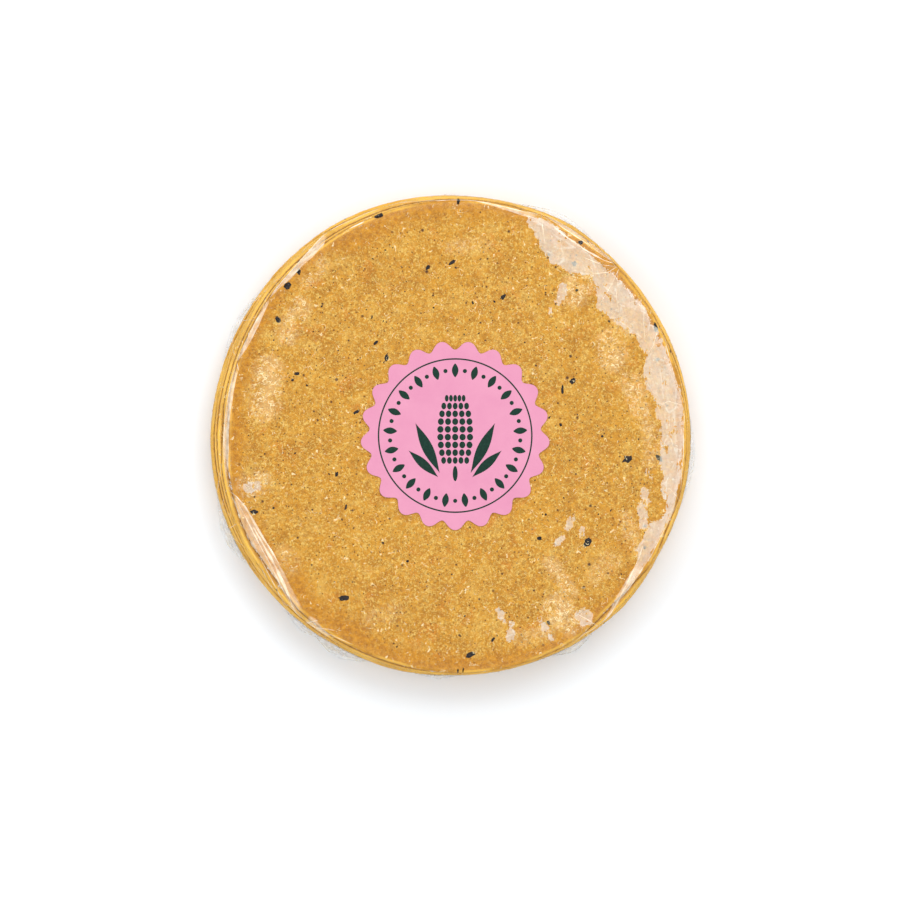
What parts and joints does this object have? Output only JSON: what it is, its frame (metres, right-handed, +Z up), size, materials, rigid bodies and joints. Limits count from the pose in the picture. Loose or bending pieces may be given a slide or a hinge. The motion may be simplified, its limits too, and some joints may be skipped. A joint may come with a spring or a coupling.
{
  "type": "wrapped stack of corn tortillas",
  "caption": "Low round stack of corn tortillas sealed in clear clinging film, with a scalloped paper seal on top.",
  "frame": {"origin": "on the flat underside, under the middle of the part's box", "axes": "+Z up through the top tortilla, which has slid towards +X; the seal's way up is towards +Y"},
  "size_m": [0.14, 0.1416, 0.0211],
  "materials": {
    "corn_dough": "griddled corn dough: dry, grainy and ochre yellow, with brown toast spots",
    "corn_hull": "charred flakes of corn hull, near black",
    "clear_film": "thin clear wrapping film, glossy and creased",
    "seal_paper": "uncoated pink label paper, matte",
    "seal_ink": "dark green print, matte"
  },
  "bodies": {
    "root": {"wrapped_stack": "corn_dough", "paper_seal": "seal_paper"}
  },
  "joints": []
}
